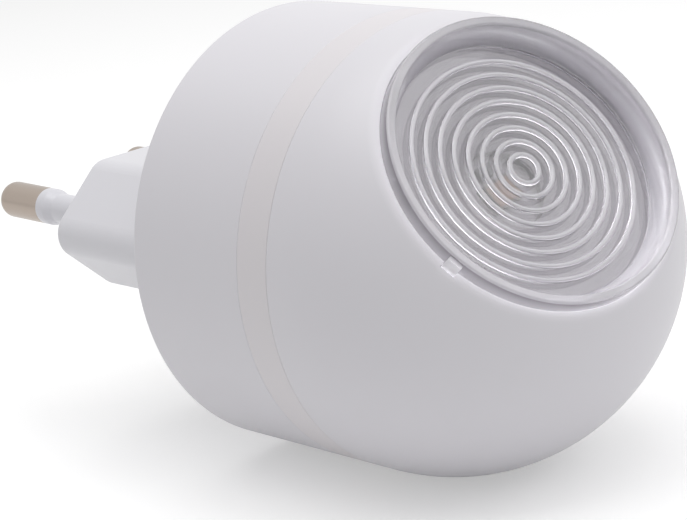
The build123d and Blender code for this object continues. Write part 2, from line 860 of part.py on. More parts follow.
with BuildPart() as led_phosphor:
    with BuildSketch(at_height(lamp_face + led_height - phosphor_depth)):
        Rectangle(led_length - 2 * phosphor_border, led_width - 2 * phosphor_border)
    extrude(amount=phosphor_depth)
finish(led_phosphor.part, "led_phosphor")

with BuildPart() as light_sensor:
    with BuildSketch(at_height(lamp_face)):
        with Locations((0, (led_width + sensor_width) / 2 + sensor_gap)):
            Rectangle(sensor_length, sensor_width)
    extrude(amount=sensor_height)
finish(light_sensor.part, "light_sensor")

# Two insulated wires run from the middle of the driver board through the hub, close to the
# turning axis, and bend to meet the back of the lamp board.
with BuildPart() as lamp_leads:
    for side in (-1, 1):
        lead_start = across * side * lead_half_spacing + into_room * board_front
        lead_turn = across * side * lead_half_spacing + into_room * lead_corner
        lead_end = lead_turn + lens_normal * lead_run
        with BuildLine() as lead_path:
            FilletPolyline(lead_start, lead_turn, lead_end, radius=lead_bend_radius)
        with BuildSketch(Plane(origin=lead_start, z_dir=into_room)):
            Circle(lead_radius)
        sweep(path=lead_path.line)
finish(lamp_leads.part, "lamp_leads")
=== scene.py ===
# %% [markdown]
# # A plug-in night light
#
# The object is a round plastic base that plugs into a wall socket, and a ball-ended head that
# turns on it and looks out through a tilted clear lens. The solids of its working model are
# loaded first. They fix every size and place, and each visible piece is then made again as a
# smooth surface worked out with numpy, because facets would show on such plain curves.

import bmesh
import bpy
import numpy as np
from mathutils import Matrix, Vector
from mathutils.geometry import delaunay_2d_cdt


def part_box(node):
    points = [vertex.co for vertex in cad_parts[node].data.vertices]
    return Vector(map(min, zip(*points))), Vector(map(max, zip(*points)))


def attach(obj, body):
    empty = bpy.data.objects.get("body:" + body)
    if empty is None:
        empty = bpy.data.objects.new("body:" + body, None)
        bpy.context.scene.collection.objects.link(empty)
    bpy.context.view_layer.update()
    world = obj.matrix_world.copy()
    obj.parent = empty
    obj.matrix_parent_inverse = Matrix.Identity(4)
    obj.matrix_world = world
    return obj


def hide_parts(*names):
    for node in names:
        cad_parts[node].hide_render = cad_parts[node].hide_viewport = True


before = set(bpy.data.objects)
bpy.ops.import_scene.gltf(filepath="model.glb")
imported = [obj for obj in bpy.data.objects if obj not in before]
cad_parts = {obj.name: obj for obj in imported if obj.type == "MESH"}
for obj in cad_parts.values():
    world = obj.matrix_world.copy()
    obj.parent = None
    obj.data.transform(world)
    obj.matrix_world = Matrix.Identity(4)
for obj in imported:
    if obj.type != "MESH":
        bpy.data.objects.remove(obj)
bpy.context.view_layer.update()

print("nodes:", len(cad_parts))

# %% [markdown]
# ## Sizes
#
# A turned or moulded part is described by a few numbers. The ones that the model already holds
# are read from its boxes, so that the surfaces cannot drift from the solids. The rest are the
# finer sizes of mouldings, which are written once here or beside the piece that uses them.
# Everything is in millimetres until a mesh is made.

# %% Read the main sizes
MM = 0.001


def box_mm(node):
    """Lowest and highest corner of a node, in millimetres."""
    low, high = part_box(node)
    return np.array(low) / MM, np.array(high) / MM


BODY_RADIUS = round(float(box_mm("base_shell")[1][0]), 2)
BASE_FRONT = round(float(-box_mm("base_shell")[0][1]), 2)
COLLAR_BACK = round(float(-box_mm("collar_ring")[1][1]), 2)
COLLAR_FRONT = round(float(-box_mm("collar_ring")[0][1]), 2)
HEAD_BACK = round(float(-box_mm("head_shell")[1][1]), 2)
print("radius", BODY_RADIUS, "base to", BASE_FRONT, "collar", COLLAR_BACK, COLLAR_FRONT)
print("head from", HEAD_BACK)

# %% Axes of the body and of the lens
SHELL_WALL = 1.8
HEAD_STRAIGHT = 1.93
REST_TURN = 12.6
LENS_TILT = 38.0

turn = np.radians(REST_TURN)
tilt = np.radians(LENS_TILT)
X_AXIS = np.array([1.0, 0.0, 0.0])
Z_AXIS = np.array([0.0, 0.0, 1.0])
INTO_ROOM = np.array([0.0, -1.0, 0.0])
ACROSS = np.array([np.cos(turn), 0.0, np.sin(turn)])
UPWARD = np.array([-np.sin(turn), 0.0, np.cos(turn)])
LENS_NORMAL = INTO_ROOM * np.cos(tilt) + UPWARD * np.sin(tilt)
LENS_UP = np.cross(LENS_NORMAL, ACROSS)
BALL_CENTRE = INTO_ROOM * (HEAD_BACK + HEAD_STRAIGHT)
print("ball centre", BALL_CENTRE.round(2), "lens looks along", LENS_NORMAL.round(3))

# %% [markdown]
# ## Camera, floor and light
#
# The camera comes first, because it decides what has to be good. It stands off the left of the
# head, looks slightly down along the base, and is tipped a few degrees, as a hand-held close-up
# often is. A long lens keeps the round body round.
#
# A product on white is lit by large soft sources, one overhead and a weaker one in front, and by
# the white room around it. A floor that is only white paint would come out light grey, because
# it takes the same light as the object. So the part of it that the camera sees, directly or in a
# shiny or clear surface, gets a little light of its own through Light Path, and the light that
# falls on the object stays as it is.

# %% Place the camera
FOCAL_MM = 123.95
SENSOR_MM = 36.0
NEAR_CLIP_M = 0.01
CAMERA_MM = np.array([-156.4, -177.8, 61.0])
HEADING = 42.22
PITCH = -15.54
ROLL = 6.02


def camera_matrix(place, heading, pitch, roll):
    """Heading turns from +Y towards +X, pitch lifts the view, roll tips the camera clockwise."""
    h, p, r = np.radians([heading, pitch, roll])
    forward = np.array([np.sin(h) * np.cos(p), np.cos(h) * np.cos(p), np.sin(p)])
    level = np.cross(forward, Z_AXIS)
    level /= np.linalg.norm(level)
    above = np.cross(level, forward)
    right = level * np.cos(r) - above * np.sin(r)
    top = np.cross(right, forward)
    matrix = np.eye(4)
    matrix[:3] = np.stack([right, top, -forward, place * MM], axis=1)
    return Matrix(matrix.tolist())


camera = bpy.data.objects.new("camera", bpy.data.cameras.new("camera"))
camera.data.lens = FOCAL_MM
camera.data.sensor_width = SENSOR_MM
camera.data.clip_start = NEAR_CLIP_M
camera.matrix_world = camera_matrix(CAMERA_MM, HEADING, PITCH, ROLL)
bpy.context.scene.collection.objects.link(camera)
bpy.context.scene.camera = camera
bpy.context.scene.view_settings.view_transform = "Standard"
print("camera", camera.matrix_world.translation)

# %% [markdown]
# ## Small helpers for materials
#
# Colours are written as they look on a screen, in hex, and one function turns them into the
# linear values that light is added up in. Another adds a shader node and links it. The rest name
# the steps that most materials share, so that each material below reads as a list of what it is
# made of.

# %% Colour and node helpers


def linear(code):
    """Screen colour such as "#C0FFEE" to linear RGBA: a straight toe, then a power of 2.4."""
    part = np.array([int(code[i : i + 2], 16) for i in (1, 3, 5)]) / 255
    value = np.where(part <= 0.04045, part / 12.92, ((part + 0.055) / 1.055) ** 2.4)
    return (*value.tolist(), 1.0)


def add_node(tree, kind, inputs=None, links=None, **settings):
    """Add a shader node, give its sockets values or links, and return it."""
    node = tree.nodes.new(kind)
    for name, value in settings.items():
        setattr(node, name, value)
    for name, value in (inputs or {}).items():
        node.inputs[name].default_value = value
    for name, socket in (links or {}).items():
        tree.links.new(socket, node.inputs[name])
    return node


def empty_material(name):
    """A material with a bare node tree, and the tree."""
    material = bpy.data.materials.new(name)
    material.use_nodes = True
    material.node_tree.nodes.clear()
    return material, material.node_tree


# %% Steps that materials share


def object_place(tree):
    """Place on the piece in its own frame, so that a pattern moves with its body."""
    return add_node(tree, "ShaderNodeTexCoord").outputs["Object"]


def noise(tree, place, size_mm, detail=2.0, roughness=0.5):
    """Noise between 0 and 1 whose lumps are about size_mm across."""
    node = add_node(
        tree,
        "ShaderNodeTexNoise",
        {"Scale": 1 / (size_mm * MM), "Detail": detail, "Roughness": roughness},
        {"Vector": place},
    )
    return node.outputs["Fac"]


def bumped(tree, height, depth_mm, strength=1.0):
    """Normal of a surface that stands depth_mm higher where the height is 1."""
    values = {"Strength": strength, "Distance": depth_mm * MM}
    return add_node(tree, "ShaderNodeBump", values, {"Height": height}).outputs["Normal"]


def ranged(tree, value, low, high):
    """A value between 0 and 1, spread over another range."""
    ends = {"To Min": low, "To Max": high}
    return add_node(tree, "ShaderNodeMapRange", ends, {"Value": value}).outputs["Result"]


def mixed_colour(tree, factor, low, high):
    """Colour that goes from low to high as the factor goes from 0 to 1."""
    ends = {6: low, 7: high}
    node = add_node(tree, "ShaderNodeMix", ends, {"Factor": factor}, data_type="RGBA")
    return node.outputs[2]


def principled(tree, values, links):
    """The shader of a solid material, and the output that it goes to."""
    shader = add_node(tree, "ShaderNodeBsdfPrincipled", values, links)
    add_node(tree, "ShaderNodeOutputMaterial", links={"Surface": shader.outputs[0]})


# %% Rays that show the background


def background_rays(tree):
    """1 for rays of the camera and for what mirrors and glass show, 0 for rays that carry light."""
    path = add_node(tree, "ShaderNodeLightPath")
    shown = path.outputs["Is Camera Ray"]
    for kind in ("Is Glossy Ray", "Is Transmission Ray"):
        either = add_node(
            tree, "ShaderNodeMath", links={0: shown, 1: path.outputs[kind]}, operation="MAXIMUM"
        )
        shown = either.outputs[0]
    return shown


# %% Floor
FLOOR_SIZE = 6000.0
FLOOR_LIFT = 0.40

floor_material, tree = empty_material("white_paper_sweep")
paper = add_node(tree, "ShaderNodeBsdfDiffuse", {"Color": linear("#F8F8F8")})
seen_paper = add_node(tree, "ShaderNodeBsdfDiffuse", {"Color": linear("#E0E0E0")})
lift = add_node(tree, "ShaderNodeEmission", {"Strength": FLOOR_LIFT})
lifted = add_node(tree, "ShaderNodeAddShader", links={0: seen_paper.outputs[0], 1: lift.outputs[0]})
both = add_node(
    tree,
    "ShaderNodeMixShader",
    links={0: background_rays(tree), 1: paper.outputs[0], 2: lifted.outputs[0]},
)
add_node(tree, "ShaderNodeOutputMaterial", links={"Surface": both.outputs[0]})

half = FLOOR_SIZE / 2 * MM
floor_mesh = bpy.data.meshes.new("floor")
floor_corners = [(-half, -half), (half, -half), (half, half), (-half, half)]
floor_mesh.from_pydata([(x, y, -BODY_RADIUS * MM) for x, y in floor_corners], [], [(0, 1, 2, 3)])
floor_mesh.materials.append(floor_material)
floor = bpy.data.objects.new("floor", floor_mesh)
bpy.context.scene.collection.objects.link(floor)
print("floor at z", -BODY_RADIUS, "mm")

# %% World and lamps
ROOM_LIGHT = 0.30
# name: watts, side of the square and place, both in mm; each one faces the origin
SOFTBOXES = {
    "overhead_softbox": (1.6, 500.0, (-60.0, 40.0, 480.0)),
    "front_softbox": (0.75, 400.0, (150.0, -250.0, 380.0)),
}

world = bpy.data.worlds.new("white_room")
bpy.context.scene.world = world
world.use_nodes = True
tree = world.node_tree
tree.nodes.clear()
room = add_node(tree, "ShaderNodeBackground", {"Color": linear("#FFFFFF"), "Strength": ROOM_LIGHT})
white = add_node(tree, "ShaderNodeBackground", {"Color": linear("#FFFFFF"), "Strength": 1.0})
mixed = add_node(
    tree,
    "ShaderNodeMixShader",
    links={0: background_rays(tree), 1: room.outputs[0], 2: white.outputs[0]},
)
add_node(tree, "ShaderNodeOutputWorld", links={"Surface": mixed.outputs[0]})

for lamp_name, (watts, size, place) in SOFTBOXES.items():
    lamp_data = bpy.data.lights.new(lamp_name, "AREA")
    lamp_data.shape = "SQUARE"
    lamp_data.size = size * MM
    lamp_data.energy = watts
    lamp = bpy.data.objects.new(lamp_name, lamp_data)
    lamp.location = Vector(place) * MM
    lamp.rotation_euler = (-lamp.location).to_track_quat("-Z", "Y").to_euler()
    bpy.context.scene.collection.objects.link(lamp)
    print(lamp_name, watts, "W at", place)

# %% [markdown]
# ## From a formula to a mesh
#
# Turned and moulded shapes are families of closed loops: circles that grow and shrink along an
# axis, or the outline of the plug that slides along it. So the first helper takes a grid of
# points whose rows are loops and joins neighbours into quads, and another joins such skins into
# one closed piece. Of the helpers for profiles, one rounds the corners with arcs, as a mould maker
# does, and one spins a profile about an axis.

# %% Helpers for grids of loops
SMOOTH_ANGLE = np.radians(32.0)
SAME_MM = 1e-6
MERGE_MM = 1e-4


def loop_faces(points, ring):
    """Index grid of loops to faces: each cell joins (row, column), its neighbour and the next row.

    A row that has shrunk to one point becomes a pole, and its cells become triangles.
    """
    rows, columns = points.shape[:2]
    index = np.arange(rows * columns).reshape(rows, columns)
    poles = np.ptp(points, axis=1).max(axis=1) < SAME_MM
    index[poles] = index[poles][:, :1]
    this = index if ring else index[:-1]
    after = np.roll(index, -1, axis=0) if ring else index[1:]
    cells = np.stack([this, np.roll(this, -1, 1), np.roll(after, -1, 1), after], axis=-1)
    quads = cells.reshape(-1, 4)
    shut_first = quads[:, 0] == quads[:, 1]
    shut_last = quads[:, 2] == quads[:, 3]
    triangles = np.concatenate([quads[shut_first][:, [0, 2, 3]], quads[shut_last][:, [0, 1, 2]]])
    return quads[~(shut_first | shut_last)], triangles


def patch(points, ring=False):
    """Points and faces of one skin, ready to be joined with others."""
    quads, triangles = loop_faces(points, ring)
    return points.reshape(-1, 3), quads.tolist() + triangles.tolist()


def make_piece(name, patches, body, material, stands_for=()):
    """Join patches into one mesh, merge the points they share, and let it ride on its body.

    Its faces are turned outwards by the sign of the volume they enclose, and edges sharper than
    the smooth angle stay crisp.
    """
    starts = np.cumsum([0] + [len(points) for points, faces in patches])
    points = np.concatenate([points for points, faces in patches]) * MM
    faces = [
        [i + start for i in face] for (_, part), start in zip(patches, starts) for face in part
    ]
    mesh = bpy.data.meshes.new(name)
    mesh.from_pydata(points.tolist(), [], faces)
    work = bmesh.new()
    work.from_mesh(mesh)
    bmesh.ops.remove_doubles(work, verts=work.verts, dist=MERGE_MM * MM)
    loose = [vert for vert in work.verts if not vert.link_faces]
    bmesh.ops.delete(work, geom=loose, context="VERTS")
    bmesh.ops.recalc_face_normals(work, faces=work.faces)
    if work.calc_volume(signed=True) < 0:
        bmesh.ops.reverse_faces(work, faces=work.faces)
    open_edges = sum(1 for edge in work.edges if len(edge.link_faces) != 2)
    work.to_mesh(mesh)
    work.free()
    mesh.shade_smooth()
    mesh.set_sharp_from_angle(angle=SMOOTH_ANGLE)
    mesh.materials.append(material)
    piece = bpy.data.objects.new(name, mesh)
    bpy.context.scene.collection.objects.link(piece)
    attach(piece, body)
    if stands_for:
        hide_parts(*stands_for)
    print(f"{name}: {len(mesh.polygons)} faces, {open_edges} open edges")
    return piece


# %% Helpers for profiles
SUPPORT_MM = 0.06
SUPPORT_SHARE = 0.2


def rounded(corners, radii, closed=True, turn_step=9.0):
    """Profile through corners, where each corner gives way to an arc that touches both its sides.

    An arc of radius r at a turn of angle a starts r * tan(a / 2) before the corner. Two support
    points next to each arc keep the flats between the arcs flat when they are shaded smooth.
    """
    corners = np.array(corners, float)
    radii = np.broadcast_to(np.array(radii, float), len(corners))
    before = corners - np.roll(corners, 1, axis=0)
    after = np.roll(corners, -1, axis=0) - corners
    parts = []
    for i, corner in enumerate(corners):
        if not closed and i in (0, len(corners) - 1):
            parts.append(corner[None])
            continue
        a = before[i] / np.linalg.norm(before[i])
        b = after[i] / np.linalg.norm(after[i])
        bend = np.arctan2(a[0] * b[1] - a[1] * b[0], a @ b)
        reach = radii[i] * np.tan(abs(bend) / 2)
        if reach < SAME_MM:
            parts.append(corner[None])
            continue
        steps = max(2, int(np.ceil(np.degrees(abs(bend)) / turn_step)))
        side = np.array([-a[1], a[0]]) * np.sign(bend)
        centre = corner - a * reach + side * radii[i]
        angle = np.linspace(0, bend, steps + 1)[:, None]
        spoke = -side
        swung = np.array([-spoke[1], spoke[0]])
        arc = centre + radii[i] * (np.cos(angle) * spoke + np.sin(angle) * swung)
        shorter = min(np.linalg.norm(before[i]), np.linalg.norm(after[i]))
        lead = min(SUPPORT_MM, SUPPORT_SHARE * shorter)
        parts.append(np.concatenate([arc[:1] - a * lead, arc, arc[-1:] + b * lead]))
    return np.concatenate(parts)


def turn_angles(count):
    """Angles of one full turn, evenly spread."""
    return np.arange(count) * 2 * np.pi / count


def spun(profile, origin, axis, first, second, angles):
    """Spin a profile of (radius, distance along the axis) about that axis.

    The point at an angle is origin + axis * distance + radius * (cos first + sin second).
    """
    radius = profile[:, 0][:, None, None]
    along = profile[:, 1][:, None, None]
    spoke = np.cos(angles)[:, None] * first + np.sin(angles)[:, None] * second
    return origin + along * axis + radius * spoke


print("helpers ready")

# %% [markdown]
# ## White ABS
#
# The housing is injection-moulded ABS. Its mould is finely blasted, so the surface is satin: the
# highlights are broad and soft, and a very fine grain breaks them up. ABS has an IOR of about
# 1.53, and the flow in the mould leaves slow, hardly visible changes in how even the sheen is.
# The grain is about 0.12 mm across, and it is drawn at twice that, because finer grain would
# fall between the pixels.

# %% Satin moulded plastic
PLASTIC_IOR = 1.53
SHEEN_CHANGE = 0.05
FLOW_MM = 14.0
GRAIN_ROUGHNESS = 0.6


def moulded_plastic(name, colour, roughness, grain_mm, grain_depth_mm):
    """A plastic from a blasted mould: fine noise as bump, slow noise in the roughness."""
    material, tree = empty_material(name)
    place = object_place(tree)
    grain = noise(tree, place, grain_mm, roughness=GRAIN_ROUGHNESS)
    flow = noise(tree, place, FLOW_MM)
    principled(
        tree,
        {"Base Color": linear(colour), "IOR": PLASTIC_IOR},
        {
            "Roughness": ranged(tree, flow, roughness - SHEEN_CHANGE, roughness + SHEEN_CHANGE),
            "Normal": bumped(tree, grain, grain_depth_mm),
        },
    )
    return material


housing_abs = moulded_plastic("satin_white_abs", "#DDDBE0", 0.42, 0.25, 0.0012)
print("made", housing_abs.name)

# %% [markdown]
# ## Base shell
#
# The base is a cup with a thick back wall. Its side is a plain cylinder, the back edge has a
# moulded round, and the plug comes out through a slot of its own outline. Four wells beside the
# slot hold the long screws. A boolean cut would leave long ragged faces, so the shell is put
# together from skins that share their edge loops: one for the wall, one for each flat face with
# holes in it, one for the slot and one for each post.

# %% Outline of the plug
PLUG_HALF_WIDTH = 18.5
PLUG_HALF_THICKNESS = 6.85
PLUG_BEVEL = 7.5
PLUG_CORNER_ROUND = 2.7
SLOT_CLEARANCE = 0.1


def plug_outline(grow):
    """Flat-topped outline with pointed, rounded ends, moved outwards by the same amount all round.

    Moving a side by d outwards leaves its direction as it is, so each arc keeps its centre and
    its radius grows by d.
    """
    flat = PLUG_HALF_WIDTH - PLUG_BEVEL
    corners = np.array(
        [
            (PLUG_HALF_WIDTH, 0.0),
            (flat, PLUG_HALF_THICKNESS),
            (-flat, PLUG_HALF_THICKNESS),
            (-PLUG_HALF_WIDTH, 0.0),
            (-flat, -PLUG_HALF_THICKNESS),
            (flat, -PLUG_HALF_THICKNESS),
        ]
    )
    line = rounded(corners, PLUG_CORNER_ROUND, turn_step=5.0)
    ahead = np.roll(line, -1, axis=0) - np.roll(line, 1, axis=0)
    normal = np.stack([ahead[:, 1], -ahead[:, 0]], axis=1)
    normal /= np.linalg.norm(normal, axis=1)[:, None]
    return line + grow * normal


def at_depth(outline, depth):
    """Put a flat outline of (x, z) at a depth from the back face."""
    return outline[:, :1] * X_AXIS + outline[:, 1:] * Z_AXIS + depth * INTO_ROOM


print("plug outline has", len(plug_outline(0)), "points")

# %% A flat face with holes
FILL_INSIDE_ONLY = 1
FILL_TOLERANCE = 1e-9


def circle(radius, angles, centre=(0.0, 0.0)):
    """Flat circle about a centre."""
    x, z = centre
    return np.stack([x + radius * np.cos(angles), z + radius * np.sin(angles)], axis=1)


def inside(points, outline):
    """Even-odd rule: a ray from a point inside crosses the outline an odd number of times.

    The ray runs along +x. It crosses a side whose ends lie above and below it, if that side is
    still to the right of the point at the ray's height.
    """
    x, z = points[:, 0][:, None], points[:, 1][:, None]
    x1, z1 = outline[:, 0], outline[:, 1]
    x2, z2 = np.roll(x1, -1), np.roll(z1, -1)
    straddles = (z1 > z) != (z2 > z)
    rise = np.where(z2 == z1, 1.0, z2 - z1)
    crossing = x1 + (z - z1) / rise * (x2 - x1)
    return (straddles & (x < crossing)).sum(axis=1) % 2 == 1


def flat_face(outer, holes, depth):
    """Triangles that fill an outline and leave its holes open, at a depth."""
    loops = [outer, *holes]
    starts = np.cumsum([0] + [len(loop) for loop in loops])
    edges = np.concatenate(
        [
            np.stack([np.arange(len(p)), np.roll(np.arange(len(p)), -1)], axis=1) + start
            for p, start in zip(loops, starts)
        ]
    )
    flat = [Vector(p) for p in np.concatenate(loops).tolist()]
    filled = delaunay_2d_cdt(flat, edges.tolist(), [], FILL_INSIDE_ONLY, FILL_TOLERANCE)
    found, _, faces, *_ = filled
    found = np.array([tuple(p) for p in found])
    faces = np.array([tuple(face) for face in faces])
    middle = found[faces].mean(axis=1)
    keep = inside(middle, outer)
    for hole in holes:
        keep &= ~inside(middle, hole)
    return at_depth(found, depth), faces[keep].tolist()


print("flat faces ready")

# %% Sizes of the base
BACK_WALL = 3.0
BACK_EDGE_ROUND = 0.35
BACK_BORDER = 2.0
FLOOR_ROUND = 0.3
FLOOR_BORDER = 0.4
SEAM_ROUND = 0.09
HOLE_EDGE = 0.15
FOOT_TOP = 7.0
POST_TOP = 13.4
POST_ROUND = 0.1
WELL_DEPTH = 4.5
WELL_RADIUS = 2.5
POST_FOOT_RADIUS = 3.3
POST_RADIUS = 2.2
SCREW_HOLE_RADIUS = 1.3
SCREW_HEAD_RADIUS = 2.2
HOLE_ROUND = 0.95 * HOLE_EDGE
FINE_COLUMNS = 256
SMALL_COLUMNS = 48
# how far the slot has grown at each depth from the back face, from the inside outwards
SLOT_EDGE = [(0.0, BACK_WALL), (0.0, 0.6), (0.0, HOLE_EDGE), (0.04, 0.05), (HOLE_EDGE, 0.0)]

inner_radius = BODY_RADIUS - SHELL_WALL
origin = np.zeros(3)
turn_fine = turn_angles(FINE_COLUMNS)
turn_small = turn_angles(SMALL_COLUMNS)
screws_low, screws_high = box_mm("case_screws")
screw_reach = (screws_high - screws_low)[[0, 2]] / 2 - SCREW_HEAD_RADIUS
post_places = [(sx * screw_reach[0], sz * screw_reach[1]) for sx in (-1, 1) for sz in (-1, 1)]
print("posts at", np.round(post_places, 2).tolist())

# %% Profiles of the base
wall_profile = rounded(
    [
        (BODY_RADIUS - BACK_BORDER, 0.0),
        (BODY_RADIUS, 0.0),
        (BODY_RADIUS, BASE_FRONT),
        (inner_radius, BASE_FRONT),
        (inner_radius, BACK_WALL),
        (inner_radius - FLOOR_BORDER, BACK_WALL),
    ],
    [0, BACK_EDGE_ROUND, SEAM_ROUND, SEAM_ROUND, FLOOR_ROUND, 0],
    closed=False,
)
post_profile = rounded(
    [
        (POST_FOOT_RADIUS, BACK_WALL),
        (POST_FOOT_RADIUS, FOOT_TOP),
        (POST_RADIUS, FOOT_TOP),
        (POST_RADIUS, POST_TOP),
        (SCREW_HOLE_RADIUS, POST_TOP),
        (SCREW_HOLE_RADIUS, WELL_DEPTH),
        (WELL_RADIUS, WELL_DEPTH),
        (WELL_RADIUS, 0.0),
        (WELL_RADIUS + HOLE_EDGE, 0.0),
    ],
    [0, *[POST_ROUND] * 6, HOLE_ROUND, 0],
    closed=False,
)
slot_rows = [(SLOT_CLEARANCE + grow, depth) for grow, depth in SLOT_EDGE]
print("wall", len(wall_profile), "post", len(post_profile), "slot", len(slot_rows), "rows")

# %% Base shell
patches = [patch(spun(wall_profile, origin, INTO_ROOM, X_AXIS, Z_AXIS, turn_fine))]
patches.append(patch(np.stack([at_depth(plug_outline(grow), depth) for grow, depth in slot_rows])))
for x, z in post_places:
    middle = x * X_AXIS + z * Z_AXIS
    patches.append(patch(spun(post_profile, middle, INTO_ROOM, X_AXIS, Z_AXIS, turn_small)))
# the back face and the floor of the cup, filled between the skins that reach them
for wall_row, hole_row, depth in ((0, -1, 0.0), (-1, 0, BACK_WALL)):
    holes = [plug_outline(slot_rows[hole_row][0])]
    holes += [circle(post_profile[hole_row, 0], turn_small, place) for place in post_places]
    patches.append(flat_face(circle(wall_profile[wall_row, 0], turn_fine), holes, depth))
make_piece("base_housing", patches, "base", housing_abs, ["base_shell"])

# %% [markdown]
# ## Collar ring
#
# The collar is the narrow band between base and head. On the real light it is a separate ring
# with a spigot inside the base, so two hair-thin seams run round the body. A ring is a closed
# profile spun about the axis. Its edges have the smallest round that a mould gives, because that
# round is what makes a seam catch light on one side and go dark in the middle. The ring comes
# from another batch of ABS than the shells, and is a trace warmer.

# %% Collar ring
SPIGOT_RADIUS = 20.6
SPIGOT_BORE = 19.2
SPIGOT_ROUND = 0.15
LIP_FRONT = BASE_FRONT + 1.2
LIP_ROUND = 0.1

collar_abs = moulded_plastic("satin_white_abs_second_batch", "#DEDADD", 0.42, 0.25, 0.0012)
collar_profile = rounded(
    [
        (BODY_RADIUS, BASE_FRONT),
        (BODY_RADIUS, COLLAR_FRONT),
        (inner_radius, COLLAR_FRONT),
        (inner_radius, LIP_FRONT),
        (SPIGOT_BORE, LIP_FRONT),
        (SPIGOT_BORE, COLLAR_BACK),
        (SPIGOT_RADIUS, COLLAR_BACK),
        (SPIGOT_RADIUS, BASE_FRONT),
    ],
    [*[SEAM_ROUND] * 3, LIP_ROUND, LIP_ROUND, SPIGOT_ROUND, SPIGOT_ROUND, 0.0],
)
collar_skin = spun(collar_profile, origin, INTO_ROOM, X_AXIS, Z_AXIS, turn_fine)
collar_patches = [patch(collar_skin, ring=True)]
make_piece("collar_band", collar_patches, "base", collar_abs, ["collar_ring"])

# %% [markdown]
# ## Head shell
#
# The head starts as a cylinder and runs into a ball of the same radius, and a round opening is
# cut into the ball on a slant. A sphere made of plain rings would meet that slanted opening in a
# ragged edge. Here the circles themselves lean over: the first lies square to the body, the last
# lies along the opening, and each one between is a circle of the same ball about an axis that
# has turned part of the way. The edge of the opening then simply follows on the last circle.
#
# The head turns against the collar with hardly any gap, so its seam is drawn finer than the one
# between the collar and the base.

# %% Sizes that the opening and the lens share
LENS_RADIUS = 14.85
LENS_FIT = 0.03
LENS_BORE = LENS_RADIUS + LENS_FIT
LENS_COLUMNS = 288
KEY_ANGLE = 194.0
KEY_WIDTH = 1.4
KEY_REACH = 0.5
KEY_DEPTH = 1.0
KEY_BELOW_RIM = 0.3
WINDOW_SIDE = 1e-5

opening_height = float(np.sqrt(BODY_RADIUS**2 - LENS_RADIUS**2))
print("opening at height", round(opening_height, 2))

# %% Circles that lean over


def leaning_circles(radius, last_spread, rows, angles):
    """Circles of one sphere, from its equator facing the wall to a rim about the lens axis.

    Row t has the axis -Y turned by tilt * t towards the lens axis, and spans the angle
    90 degrees * (1 - t) + last_spread * t from it. Its point at an angle is
    centre + radius * (cos spread * axis + sin spread * (cos angle * across + sin angle * up)).
    """
    t = np.linspace(0, 1, rows)[:, None, None]
    axis = INTO_ROOM * np.cos(tilt * t) + UPWARD * np.sin(tilt * t)
    up = UPWARD * np.cos(tilt * t) - INTO_ROOM * np.sin(tilt * t)
    spread = np.pi / 2 * (1 - t) + last_spread * t
    spoke = np.cos(angles)[:, None] * ACROSS + np.sin(angles)[:, None] * up
    return BALL_CENTRE + radius * (np.cos(spread) * axis + np.sin(spread) * spoke)


def lens_rows(radius, height, angles):
    """Loops about the lens axis from arrays of radius and height with one row per loop.

    The point at an angle is centre + height * normal + radius * (cos across + sin up).
    """
    spoke = np.cos(angles)[:, None] * ACROSS + np.sin(angles)[:, None] * LENS_UP
    return BALL_CENTRE + height[..., None] * LENS_NORMAL + radius[..., None] * spoke


# %% Windows for the key and the hooks


def windowed(base, change, angles, middle, half_width):
    """Base value at every angle, and the changed value inside a window about a middle angle."""
    away = (angles - np.radians(middle) + np.pi) % (2 * np.pi) - np.pi
    return np.where(np.abs(away) < half_width, change, base)


def window_angles(count, windows):
    """Even angles plus a close pair at each side of every window, so that its walls are steep."""
    sides = []
    for middle, half_width in windows:
        for side in (-half_width, half_width):
            wall = np.radians(middle) + side
            sides += [wall - WINDOW_SIDE, wall + WINDOW_SIDE]
    return np.unique(np.concatenate([turn_angles(count), np.array(sides) % (2 * np.pi)]))


key_half = (KEY_WIDTH / 2 + SLOT_CLEARANCE) / LENS_RADIUS
notch_turn = window_angles(LENS_COLUMNS, [(KEY_ANGLE, key_half)])
print("opening has", len(notch_turn), "columns")

# %% [markdown]
# The edge of the opening is a gentle crown a millimetre wide, then a tight arc into the bore. The
# lens has a small key on its rim, so the edge has a notch for it: inside the key's window, the
# same rows are pushed out to the notch's wall. They would then lie on one another, so each row
# is set a micrometre below the one before.

# %% Edge of the opening
EDGE_CROWN = 1.6
EDGE_BAND = 1.0
EDGE_ROUND = 0.06
EDGE_POINTS = 7
BORE_SUPPORT = 0.05
ROW_DROP = 0.001

crown_spread = np.arcsin((LENS_BORE + EDGE_BAND) / BODY_RADIUS)
crown_middle = (BODY_RADIUS - EDGE_CROWN) * np.array([np.sin(crown_spread), np.cos(crown_spread)])
brow_lean = np.arcsin((LENS_BORE + EDGE_ROUND - crown_middle[0]) / EDGE_CROWN)
lean = np.linspace(crown_spread, brow_lean, EDGE_POINTS)
crown = crown_middle + EDGE_CROWN * np.stack([np.sin(lean), np.cos(lean)], axis=1)
swing = np.linspace(brow_lean, -np.pi / 2, EDGE_POINTS)[1:]
brow_middle = crown[-1] - EDGE_ROUND * np.array([np.sin(brow_lean), np.cos(brow_lean)])
brow = brow_middle + EDGE_ROUND * np.stack([np.sin(swing), np.cos(swing)], axis=1)

